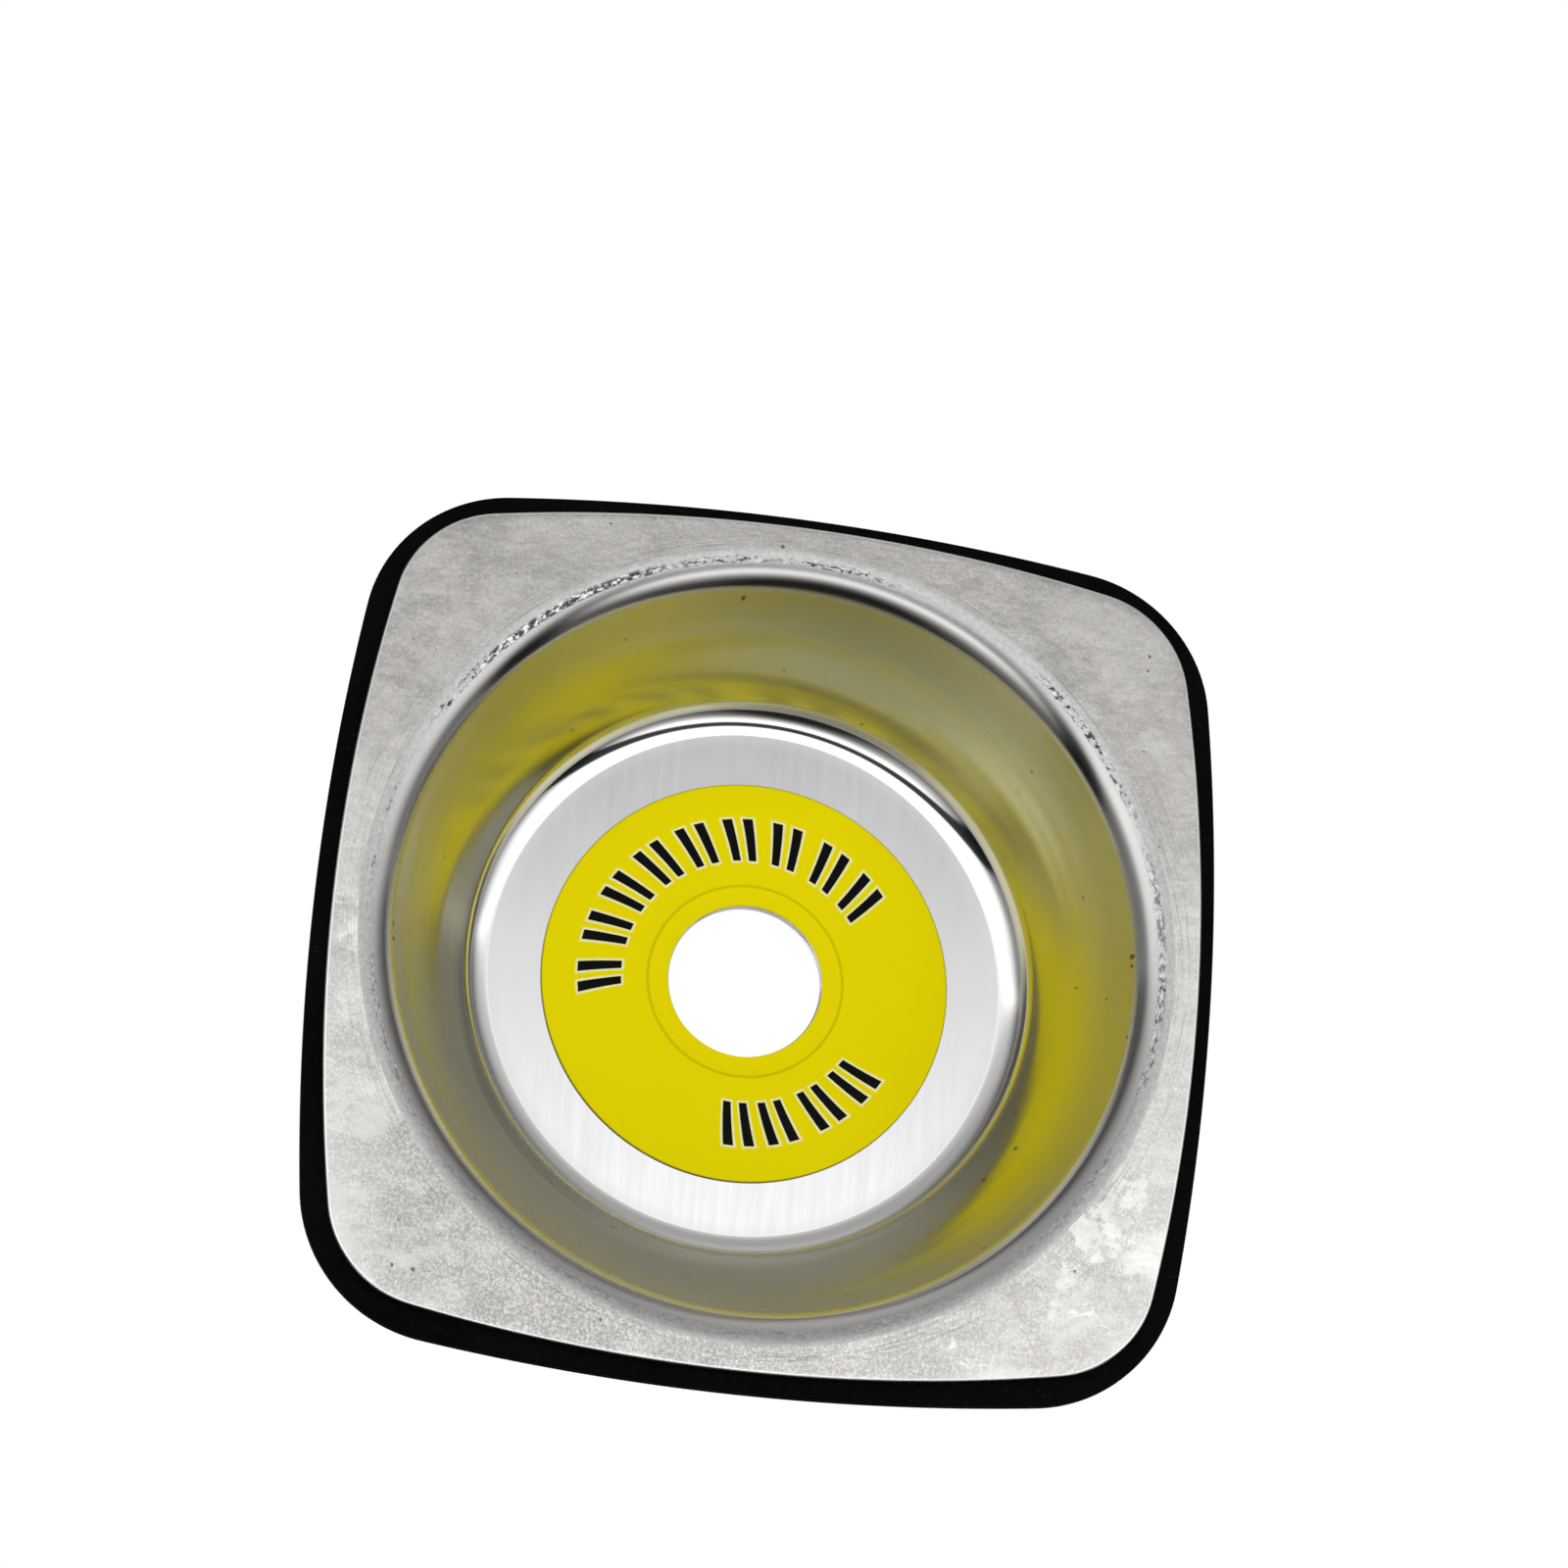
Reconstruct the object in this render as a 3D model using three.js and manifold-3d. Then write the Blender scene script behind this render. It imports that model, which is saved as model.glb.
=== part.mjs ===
// Recessed emergency stop housing for a panel: a pressed stainless cup with a bowed square flange,
// a soft gasket behind the flange, a round legend on the floor of the cup, and four M4 weld studs
// with their washers and nuts.
//
// Millimetres, +Z up. The front faces -Y. The origin is on the cup's axis, in the plane of the panel's
// front face, which is the plane of the gasket's rear face. The cup reaches into the panel along +Y.
import * as THREE from "three";
import { mergeVertices } from "three/addons/utils/BufferGeometryUtils.js";
import Module from "manifold-3d";

// ---------------------------------------------------------------- dimensions
const SHEET = 1.5; // sheet thickness of the cup
const GASKET_THICKNESS = 2.25;
const RECESS_DEPTH = 25.0; // flange face to floor

const Y_FACE = -(SHEET + GASKET_THICKNESS); // front face of the flange
const Y_FLANGE_BACK = -GASKET_THICKNESS;
const Y_FLOOR = Y_FACE + RECESS_DEPTH; // front face of the floor

const HOLE_RADIUS = 11.25; // hole for a 22 mm button
const FOOT_RADIUS = 40.2; // where the straight wall would meet the floor
const WALL_ANGLE = 31.0; // degrees between the wall and the axis
const FLOOR_FILLET = 4.4; // inside radius between floor and wall
const RIM_ROLL = 6.0; // outside radius between wall and flange

// Outlines: four sides bowed out to a large radius, with a rounded corner tangent to both sides.
const FLANGE_OUTLINE = { half: 62.0, side: 248, corner: 15.7 };
const GASKET_OUTLINE = { half: 64.3, side: 345, corner: 21.5 };
const GASKET_SHIFT = [-0.1, -0.4]; // the gasket sits a little off centre in x and z
const GASKET_INNER_RADIUS = 59.1;
const GASKET_STUD_HOLE_RADIUS = 3.3;

const LEGEND_RADIUS = 30.0;
const LEGEND_HOLE_RADIUS = 11.4;
const LEGEND_THICKNESS = 0.3;
const ADHESIVE_RADIUS = 29.8;
const ADHESIVE_HOLE_RADIUS = 11.7;
const ADHESIVE_THICKNESS = 0.1;

const STUD_OFFSET = 46.0; // stud positions are (+-46, +-46)
const STUD_RADIUS = 2.0; // M4
const STUD_FOOT_RADIUS = 2.75;
const STUD_FOOT_HEIGHT = 0.7;
const STUD_LENGTH = 12.0; // from the back of the flange
const STUD_CHAMFER = 0.4;

const STACK_GAP = 0.1; // washers stand this far off the gasket
const WASHER_OUTER_RADIUS = 4.5;
const WASHER_THICKNESS = 0.8;
const LOCK_OUTER_RADIUS = 3.8;
const LOCK_THICKNESS = 0.9;
const LOCK_SLIT = 0.9;
const WASHER_BORE_RADIUS = 2.15;
const NUT_ACROSS_FLATS = 7.0;
const NUT_THICKNESS = 3.2;
const NUT_BORE_RADIUS = 2.1;
const NUT_CHAMFER = 0.45;

const RING_SEGMENTS = 96; // around the cup
const SIDE_STEPS = 10; // along each side of an outline
const CORNER_STEPS = 9; // round each corner of an outline
const SMALL_SEGMENTS = 24; // around studs and washers

// ---------------------------------------------------------------- helpers
const wasm = await Module();
wasm.setup();

function solid(geometry) {
  const g = geometry.clone();
  g.deleteAttribute("normal");
  g.deleteAttribute("uv");
  const m = mergeVertices(g, 1e-4);
  const make = (tris) =>
    new wasm.Manifold(
      new wasm.Mesh({
        numProp: 3,
        vertProperties: m.attributes.position.array,
        triVerts: tris,
      }),
    );
  return make(new Uint32Array(m.index.array));
}

function geometryOf(manifold) {
  const m = manifold.getMesh();
  const g = new THREE.BufferGeometry();
  g.setAttribute(
    "position",
    new THREE.BufferAttribute(new Float32Array(m.vertProperties), 3),
  );
  g.setIndex(new THREE.BufferAttribute(new Uint32Array(m.triVerts), 1));
  g.computeVertexNormals();
  return g;
}

// A closed profile of [radius, y] points turned about the Y axis. The points run so that the material
// is on the left hand of the path, which makes the faces point out.
function turned(profile, segments) {
  const points = profile.map(([r, y]) => new THREE.Vector2(r, y));
  const closed =
    points[0].distanceTo(points[points.length - 1]) < 1e-9
      ? points
      : [...points, points[0].clone()];
  return new THREE.LatheGeometry(closed, segments);
}

// An outline in x and z pushed along +Y from y0 for depth.
function plate(shape, y0, depth) {
  const g = new THREE.ExtrudeGeometry(shape, {
    depth,
    bevelEnabled: false,
    curveSegments: 1,
  });
  g.rotateX(Math.PI / 2); // x stays, the outline's y becomes z, depth runs to -y
  g.translate(0, y0 + depth, 0);
  return g;
}

// Points of a square with bowed sides, half its width across the middles of the sides.
function outlinePoints({ half, side, corner }, shift = [0, 0]) {
  const d = side - half; // the side's arc is centred this far beyond the axis
  const c =
    (-2 * d + Math.sqrt(4 * d * d - 8 * (d * d - (side - corner) ** 2))) / 4;
  const join = Math.atan2(c, c + d); // where the side's arc meets the corner's
  const points = [];
  for (let q = 0; q < 4; q++) {
    const turn = (q * Math.PI) / 2;
    const put = (x, z) =>
      points.push(
        new THREE.Vector2(
          shift[0] + x * Math.cos(turn) - z * Math.sin(turn),
          shift[1] + x * Math.sin(turn) + z * Math.cos(turn),
        ),
      );
    for (let i = 0; i <= SIDE_STEPS; i++) {
      const a = -join + (2 * join * i) / SIDE_STEPS;
      put(side * Math.cos(a) - d, side * Math.sin(a));
    }
    for (let i = 1; i < CORNER_STEPS; i++) {
      const a = join + ((Math.PI / 2 - 2 * join) * i) / CORNER_STEPS;
      put(c + corner * Math.cos(a), c + corner * Math.sin(a));
    }
  }
  return points;
}

function circlePoints(radius, count, cx = 0, cy = 0) {
  const points = [];
  for (let i = 0; i < count; i++) {
    const a = (2 * Math.PI * i) / count;
    points.push(
      new THREE.Vector2(cx + radius * Math.cos(a), cy + radius * Math.sin(a)),
    );
  }
  return points;
}

function arc(cr, cy, radius, from, to, steps) {
  const points = [];
  for (let i = 0; i <= steps; i++) {
    const a = THREE.MathUtils.degToRad(from + ((to - from) * i) / steps);
    points.push([cr + radius * Math.cos(a), cy + radius * Math.sin(a)]);
  }
  return points;
}

// ---------------------------------------------------------------- materials
const steel = () =>
  new THREE.MeshStandardMaterial({ color: 0xc2c0bb, roughness: 0.34, metalness: 1.0 });
const rubber = () =>
  new THREE.MeshStandardMaterial({ color: 0x0b0b0c, roughness: 0.75, metalness: 0.0 });
const legendYellow = () =>
  new THREE.MeshStandardMaterial({ color: 0xe0d100, roughness: 0.42, metalness: 0.0 });
const film = () =>
  new THREE.MeshStandardMaterial({ color: 0xd9d6c8, roughness: 0.6, metalness: 0.0 });
const zinc = () =>
  new THREE.MeshStandardMaterial({ color: 0xb4b6b8, roughness: 0.38, metalness: 1.0 });

const part = new THREE.Group();

function add(name, geometry, material) {
  const mesh = new THREE.Mesh(geometry, material);
  mesh.name = name;
  part.add(mesh);
  return mesh;
}

// ---------------------------------------------------------------- recess cup
// Front skin from the hole outwards, then back along the rear skin at sheet thickness. Radii are
// measured from the axis and y runs into the panel.
const wall = THREE.MathUtils.degToRad(WALL_ANGLE);
const filletRun = FLOOR_FILLET * Math.tan((Math.PI / 2 - wall) / 2);
const filletCentre = [FOOT_RADIUS - filletRun, Y_FLOOR - FLOOR_FILLET];
const wallRadiusAt = (y) => FOOT_RADIUS + (Y_FLOOR - y) * Math.tan(wall);
const rollCentreY = Y_FACE + RIM_ROLL;
// The roll touches the wall where the wall's line is RIM_ROLL from the roll's centre.
const rollCentreR = wallRadiusAt(rollCentreY) + RIM_ROLL / Math.cos(wall);
const FAR = 90; // beyond the flange's corners, cut back to the outline below

const frontSkin = [
  [HOLE_RADIUS, Y_FLOOR],
  ...arc(...filletCentre, FLOOR_FILLET, 90, WALL_ANGLE, 7),
  ...arc(rollCentreR, rollCentreY, RIM_ROLL, 180 + WALL_ANGLE, 270, 8),
  [FAR, Y_FACE],
];
const rearSkin = [
  [FAR, Y_FLANGE_BACK],
  ...arc(rollCentreR, rollCentreY, RIM_ROLL - SHEET, 270, 180 + WALL_ANGLE, 6),
  ...arc(...filletCentre, FLOOR_FILLET + SHEET, WALL_ANGLE, 90, 7),
  [HOLE_RADIUS, Y_FLOOR + SHEET],
];
const cupBlank = solid(turned([...frontSkin, ...rearSkin], RING_SEGMENTS));
const flangeTool = solid(
  plate(
    new THREE.Shape(outlinePoints(FLANGE_OUTLINE)),
    Y_FACE - 20,
    RECESS_DEPTH + 60,
  ),
);
add("recess_cup", geometryOf(cupBlank.intersect(flangeTool)), steel());

// ---------------------------------------------------------------- flange gasket
const STUDS = [
  ["upper_left", -1, 1],
  ["upper_right", 1, 1],
  ["lower_right", 1, -1],
  ["lower_left", -1, -1],
];
const gasketShape = new THREE.Shape(
  outlinePoints(GASKET_OUTLINE, GASKET_SHIFT),
);
gasketShape.holes.push(
  new THREE.Path(
    circlePoints(GASKET_INNER_RADIUS, 72, GASKET_SHIFT[0], GASKET_SHIFT[1]),
  ),
);
for (const [, sx, sz] of STUDS)
  gasketShape.holes.push(
    new THREE.Path(
      circlePoints(
        GASKET_STUD_HOLE_RADIUS,
        16,
        sx * STUD_OFFSET + GASKET_SHIFT[0],
        sz * STUD_OFFSET + GASKET_SHIFT[1],
      ),
    ),
  );
add("flange_gasket", plate(gasketShape, Y_FLANGE_BACK, GASKET_THICKNESS), rubber());

// ---------------------------------------------------------------- legend
const Y_ADHESIVE = Y_FLOOR - ADHESIVE_THICKNESS;
const ring = (inner, outer, y0, y1, segments) =>
  turned(
    [
      [inner, y0],
      [outer, y0],
      [outer, y1],
      [inner, y1],
    ],
    segments,
  );
add(
  "legend_adhesive",
  ring(ADHESIVE_HOLE_RADIUS, ADHESIVE_RADIUS, Y_ADHESIVE, Y_FLOOR, 72),
  film(),
);
add(
  "legend_disc",
  ring(
    LEGEND_HOLE_RADIUS,
    LEGEND_RADIUS,
    Y_ADHESIVE - LEGEND_THICKNESS,
    Y_ADHESIVE,
    RING_SEGMENTS,
  ),
  legendYellow(),
);

// ---------------------------------------------------------------- studs, washers and nuts
function studGeometry() {
  const y0 = Y_FLANGE_BACK;
  const y1 = y0 + STUD_LENGTH;
  return turned(
    [
      [0, y0],
      [STUD_FOOT_RADIUS, y0],
      [STUD_FOOT_RADIUS, y0 + STUD_FOOT_HEIGHT],
      [STUD_RADIUS, y0 + STUD_FOOT_HEIGHT],
      [STUD_RADIUS, y1 - STUD_CHAMFER],
      [STUD_RADIUS - STUD_CHAMFER, y1],
      [0, y1],
    ],
    SMALL_SEGMENTS,
  );
}

function lockWasherGeometry(y0) {
  // A ring with a slit, drawn as one outline round the outside and back round the bore.
  const outer = Math.asin(LOCK_SLIT / 2 / LOCK_OUTER_RADIUS);
  const inner = Math.asin(LOCK_SLIT / 2 / WASHER_BORE_RADIUS);
  const points = [];
  const n = 28;
  for (let i = 0; i <= n; i++) {
    const a = outer + ((2 * Math.PI - 2 * outer) * i) / n;
    points.push(
      new THREE.Vector2(LOCK_OUTER_RADIUS * Math.cos(a), LOCK_OUTER_RADIUS * Math.sin(a)),
    );
  }
  for (let i = n; i >= 0; i--) {
    const a = inner + ((2 * Math.PI - 2 * inner) * i) / n;
    points.push(
      new THREE.Vector2(WASHER_BORE_RADIUS * Math.cos(a), WASHER_BORE_RADIUS * Math.sin(a)),
    );
  }
  return plate(new THREE.Shape(points), y0, LOCK_THICKNESS);
}

function nutGeometry(y0) {
  const corner = NUT_ACROSS_FLATS / 2 / Math.cos(Math.PI / 6);
  const hex = new THREE.Shape(circlePoints(corner, 6));
  hex.holes.push(new THREE.Path(circlePoints(NUT_BORE_RADIUS, 32)));
  const prism = solid(plate(hex, y0, NUT_THICKNESS));
  // Both ends are turned to a cone that takes off the corners only.
  const flat = NUT_ACROSS_FLATS / 2 - 0.1;
  const reach = corner + 0.2;
  const cone = solid(
    turned(
      [
        [0, y0 - 0.01],
        [flat, y0 - 0.01],
        [reach, y0 + NUT_CHAMFER],
        [reach, y0 + NUT_THICKNESS - NUT_CHAMFER],
        [flat, y0 + NUT_THICKNESS + 0.01],
        [0, y0 + NUT_THICKNESS + 0.01],
      ],
      36,
    ),
  );
  return geometryOf(prism.intersect(cone));
}

const Y_WASHER = STACK_GAP;
const Y_LOCK = Y_WASHER + WASHER_THICKNESS;
const Y_NUT = Y_LOCK + LOCK_THICKNESS;

STUDS.forEach(([corner, sx, sz], i) => {
  const at = (mesh) => mesh.position.set(sx * STUD_OFFSET, 0, sz * STUD_OFFSET);
  at(add("weld_stud_" + corner, studGeometry(), zinc()));
  at(
    add(
      "flat_washer_" + corner,
      ring(
        WASHER_BORE_RADIUS,
        WASHER_OUTER_RADIUS,
        Y_WASHER,
        Y_WASHER + WASHER_THICKNESS,
        SMALL_SEGMENTS,
      ),
      zinc(),
    ),
  );
  const lock = lockWasherGeometry(Y_LOCK);
  lock.rotateY(0.7 + 1.9 * i); // the slits point different ways
  at(add("lock_washer_" + corner, lock, zinc()));
  const nut = nutGeometry(Y_NUT);
  nut.rotateY(0.2 + 0.31 * i); // the nuts stop at different angles
  at(add("hex_nut_" + corner, nut, zinc()));
});

export default part;
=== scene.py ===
import math

import bmesh
import bpy
import numpy as np
from mathutils import Matrix, Vector


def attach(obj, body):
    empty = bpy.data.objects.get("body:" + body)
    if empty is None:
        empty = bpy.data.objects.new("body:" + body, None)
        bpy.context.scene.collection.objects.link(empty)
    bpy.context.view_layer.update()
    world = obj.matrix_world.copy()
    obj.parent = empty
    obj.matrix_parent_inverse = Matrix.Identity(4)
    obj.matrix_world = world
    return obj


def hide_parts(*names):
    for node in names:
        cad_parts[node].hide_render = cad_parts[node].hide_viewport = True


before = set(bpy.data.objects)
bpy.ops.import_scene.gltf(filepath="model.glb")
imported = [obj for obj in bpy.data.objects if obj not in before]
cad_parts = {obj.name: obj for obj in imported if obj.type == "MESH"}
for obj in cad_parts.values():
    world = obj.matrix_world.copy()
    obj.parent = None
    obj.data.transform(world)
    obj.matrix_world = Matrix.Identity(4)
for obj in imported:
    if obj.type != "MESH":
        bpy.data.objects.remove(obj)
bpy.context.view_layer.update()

MM = 0.001

# ------------------------------------------------------------------ the CAD's sizes, in millimetres
SHEET = 1.5
GASKET = 2.25
DEPTH = 25.0
Y_FACE = -(SHEET + GASKET)
Y_BACK = -GASKET
Y_FLOOR = Y_FACE + DEPTH
HOLE_R = 11.25
FLOOR_EDGE_R = 37.7  # where the fillet starts
ROLL_EDGE_R = 58.35  # where the roll ends and the flat flange starts
FILLET = 4.4
ROLL = 6.0
FLANGE = (62.0, 248.0, 15.7)
GASKET_OUT = (64.3, 345.0, 21.5)
GASKET_SHIFT = (-0.1, -0.4)
GASKET_IN = 59.1
LEGEND_R, LEGEND_HOLE = 30.0, 11.4
Y_LEGEND = Y_FLOOR - 0.1 - 0.3
STUD = 46.0
CORNERS = [("upper_left", -1, 1), ("upper_right", 1, 1), ("lower_right", 1, -1), ("lower_left", -1, -1)]

# ------------------------------------------------------------------ camera
cam_data = bpy.data.cameras.new("camera")
cam = bpy.data.objects.new("camera", cam_data)
bpy.context.scene.collection.objects.link(cam)
bpy.context.scene.camera = cam
cam_data.sensor_width = 36.0
cam_data.lens = 36.0 * 4661.0 / 1600.0
cam_data.clip_start = 0.01
cam_data.clip_end = 50.0
# rows of the view: right, down and forward of the picture, in x right, y up, z towards the viewer
ROWS = np.array([[0.98370, 0.07988, 0.16110], [0.12511, -0.94756, -0.29407], [0.12917, 0.30943, -0.94211]])
CENTRE = (-84.2, -178.7, 638.2)


def to_part(v):
    return Vector((v[0], -v[2], v[1]))


right, up, back = to_part(ROWS[0]), to_part(-ROWS[1]), to_part(-ROWS[2])
right.normalize()
back = (back - right * back.dot(right)).normalized()
up = back.cross(right)
m = Matrix((right, up, back)).transposed().to_4x4()
m.translation = Vector((CENTRE[0] * MM, (Y_FLOOR - CENTRE[2]) * MM, CENTRE[1] * MM))
cam.matrix_world = m


# ------------------------------------------------------------------ mesh helpers
def mesh_object(name, verts, faces, smooth=True):
    me = bpy.data.meshes.new(name)
    me.from_pydata([tuple(v) for v in verts], [], [tuple(f) for f in faces])
    me.update()
    ob = bpy.data.objects.new(name, me)
    bpy.context.scene.collection.objects.link(ob)
    if smooth:
        me.polygons.foreach_set("use_smooth", [True] * len(me.polygons))
    return ob


def fix_normals(ob):
    bm = bmesh.new()
    bm.from_mesh(ob.data)
    bmesh.ops.recalc_face_normals(bm, faces=bm.faces)
    bm.to_mesh(ob.data)
    bm.free()
    ob.data.update()


def grid_faces(rows, cols, close_rows):
    faces = []
    for i in range(rows if close_rows else rows - 1):
        a, b = i * cols, ((i + 1) % rows) * cols
        for j in range(cols):
            k = (j + 1) % cols
            faces.append((a + j, a + k, b + k, b + j))
    return faces


def bowed(angles, half, side, corner):
    """Radius, at each angle, of a square with bowed sides and rounded corners."""
    d = side - half
    c = (-2 * d + math.sqrt(4 * d * d - 8 * (d * d - (side - corner) ** 2))) / 4
    join = math.atan2(c, c + d)
    jx, jy = side * math.cos(join) - d, side * math.sin(join)
    cut = math.atan2(jy, jx)
    t = np.abs((angles + math.pi / 4) % (math.pi / 2) - math.pi / 4)
    ct, st = np.cos(t), np.sin(t)
    r_side = -d * ct + np.sqrt(np.maximum(side * side - (d * st) ** 2, 0))
    k = c * ct + c * st
    r_corner = k + np.sqrt(np.maximum(corner * corner - 2 * c * c + k * k, 0))
    return np.where(t < cut, r_side, r_corner)


def arc(cr, cy, r, a0, a1, n):
    return [(cr + r * math.cos(math.radians(a0 + (a1 - a0) * i / n)), cy + r * math.sin(math.radians(a0 + (a1 - a0) * i / n))) for i in range(n + 1)]


def line(p, q, n):
    """Points strictly between p and q."""
    return [(p[0] + (q[0] - p[0]) * i / n, p[1] + (q[1] - p[1]) * i / n) for i in range(1, n)]


def turned(name, profile, segments, closed=True, at=(0.0, 0.0, 0.0)):
    """Profile of (radius, y) points in mm turned about the Y axis, and closed on itself."""
    verts = []
    for r, y in profile:
        for j in range(segments):
            a = 2 * math.pi * j / segments
            verts.append(((r * math.cos(a) + at[0]) * MM, (y + at[1]) * MM, (r * math.sin(a) + at[2]) * MM))
    ob = mesh_object(name, verts, grid_faces(len(profile), segments, closed))
    fix_normals(ob)
    return ob


def soft_ring(inner, outer, y0, y1, edge, steps=3):
    """Section of a flat ring with rounded edges."""
    p = []
    p += arc(outer - edge, y0 + edge, edge, 270, 360, steps)
    p += arc(outer - edge, y1 - edge, edge, 0, 90, steps)
    p += arc(inner + edge, y1 - edge, edge, 90, 180, steps)
    p += arc(inner + edge, y0 + edge, edge, 180, 270, steps)
    return p


# ------------------------------------------------------------------ materials
class Nodes:
    """A short way to write a node tree."""

    def __init__(self, name):
        self.mat = bpy.data.materials.new(name)
        self.mat.use_nodes = True
        self.t = self.mat.node_tree
        self.t.nodes.clear()
        self.out = self.t.nodes.new("ShaderNodeOutputMaterial")
        self.bsdf = self.t.nodes.new("ShaderNodeBsdfPrincipled")
        self.t.links.new(self.bsdf.outputs[0], self.out.inputs["Surface"])
        self.coord = self.t.nodes.new("ShaderNodeTexCoord").outputs["Object"]

    def put(self, socket, value):
        if hasattr(value, "is_output") or isinstance(value, bpy.types.NodeSocket):
            self.t.links.new(value, socket)
        elif value is not None:
            socket.default_value = value

    def set(self, **values):
        for k, v in values.items():
            self.put(self.bsdf.inputs[k.replace("_", " ")], v)

    def math(self, op, a, b=None, c=None, clamp=False):
        n = self.t.nodes.new("ShaderNodeMath")
        n.operation = op
        n.use_clamp = clamp
        self.put(n.inputs[0], a)
        if b is not None:
            self.put(n.inputs[1], b)
        if c is not None:
            self.put(n.inputs[2], c)
        return n.outputs[0]

    def noise(self, scale, detail=3.0, rough=0.55, vector=None, distortion=0.0, kind="FBM"):
        n = self.t.nodes.new("ShaderNodeTexNoise")
        n.noise_dimensions = "3D"
        self.put(n.inputs["Vector"], vector if vector is not None else self.coord)
        n.inputs["Scale"].default_value = scale
        n.inputs["Detail"].default_value = detail
        n.inputs["Roughness"].default_value = rough
        n.inputs["Distortion"].default_value = distortion
        return n.outputs["Fac"]

    def voronoi(self, scale, feature="F1", vector=None, rand=1.0):
        n = self.t.nodes.new("ShaderNodeTexVoronoi")
        n.feature = feature
        self.put(n.inputs["Vector"], vector if vector is not None else self.coord)
        n.inputs["Scale"].default_value = scale
        n.inputs["Randomness"].default_value = rand
        return n.outputs["Distance"]

    def ramp(self, value, stops, interp="LINEAR"):
        n = self.t.nodes.new("ShaderNodeValToRGB")
        n.color_ramp.interpolation = interp
        while len(n.color_ramp.elements) > 1:
            n.color_ramp.elements.remove(n.color_ramp.elements[0])
        for i, (pos, col) in enumerate(stops):
            if not isinstance(col, (tuple, list)):
                col = (col, col, col)
            e = n.color_ramp.elements[0] if i == 0 else n.color_ramp.elements.new(pos)
            e.position = pos
            e.color = (*col, 1.0)
        self.put(n.inputs["Fac"], value)
        return n.outputs["Color"]

    def range(self, value, a, b, c, d, smooth=False):
        n = self.t.nodes.new("ShaderNodeMapRange")
        n.interpolation_type = "SMOOTHSTEP" if smooth else "LINEAR"
        self.put(n.inputs["Value"], value)
        for k, v in zip(("From Min", "From Max", "To Min", "To Max"), (a, b, c, d)):
            self.put(n.inputs[k], v)
        return n.outputs["Result"]

    def mix(self, fac, a, b, blend="MIX"):
        n = self.t.nodes.new("ShaderNodeMix")
        n.data_type = "RGBA"
        n.blend_type = blend
        self.put(n.inputs[0], fac)
        self.put(n.inputs[6], a if not isinstance(a, tuple) else (*a, 1.0))
        self.put(n.inputs[7], b if not isinstance(b, tuple) else (*b, 1.0))
        return n.outputs[2]

    def xyz(self, vector=None):
        n = self.t.nodes.new("ShaderNodeSeparateXYZ")
        self.put(n.inputs[0], vector if vector is not None else self.coord)
        return n.outputs[0], n.outputs[1], n.outputs[2]

    def vec(self, x, y, z):
        n = self.t.nodes.new("ShaderNodeCombineXYZ")
        self.put(n.inputs[0], x)
        self.put(n.inputs[1], y)
        self.put(n.inputs[2], z)
        return n.outputs[0]

    def polar(self, cx=0.0, cz=0.0):
        """Radius in mm, angle in radians and y in mm, about the cup's axis."""
        x, y, z = self.xyz()
        x = self.math("ADD", x, -cx * MM)
        z = self.math("ADD", z, -cz * MM)
        r = self.math("MULTIPLY", self.math("SQRT", self.math("ADD", self.math("MULTIPLY", x, x), self.math("MULTIPLY", z, z))), 1000.0)
        a = self.math("ARCTAN2", z, x)
        return r, a, self.math("MULTIPLY", y, 1000.0)

    def round_vec(self, radial, angular, axial, cx=0.0, cz=0.0):
        """A vector that runs along the radius, round a circle (with no seam) and along the axis, each by its own scale."""
        r, a, y = self.polar(cx, cz)
        u = self.math("MULTIPLY", self.math("COSINE", a), angular)
        v = self.math("MULTIPLY", self.math("SINE", a), angular)
        w = self.math("ADD", self.math("MULTIPLY", r, radial), self.math("MULTIPLY", y, axial))
        return self.vec(u, v, w)

    def stretch(self, sx, sy, sz):
        n = self.t.nodes.new("ShaderNodeMapping")
        self.put(n.inputs["Vector"], self.coord)
        n.inputs["Scale"].default_value = (sx, sy, sz)
        return n.outputs[0]

    def spot(self, cx, cz, radius, vector=None):
        """One at a point of the front, given in mm, falling to nothing at a radius in mm."""
        x, y, z = self.xyz(vector)
        dx = self.math("ADD", x, -cx * MM)
        dz = self.math("ADD", z, -cz * MM)
        d = self.math("SQRT", self.math("ADD", self.math("MULTIPLY", dx, dx), self.math("MULTIPLY", dz, dz)))
        return self.range(d, 0.0, radius * MM, 1.0, 0.0, True)

    def bump(self, height, strength, distance, normal=None):
        n = self.t.nodes.new("ShaderNodeBump")
        n.inputs["Strength"].default_value = strength
        n.inputs["Distance"].default_value = distance
        self.put(n.inputs["Height"], height)
        if normal is not None:
            self.put(n.inputs["Normal"], normal)
        return n.outputs[0]


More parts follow.
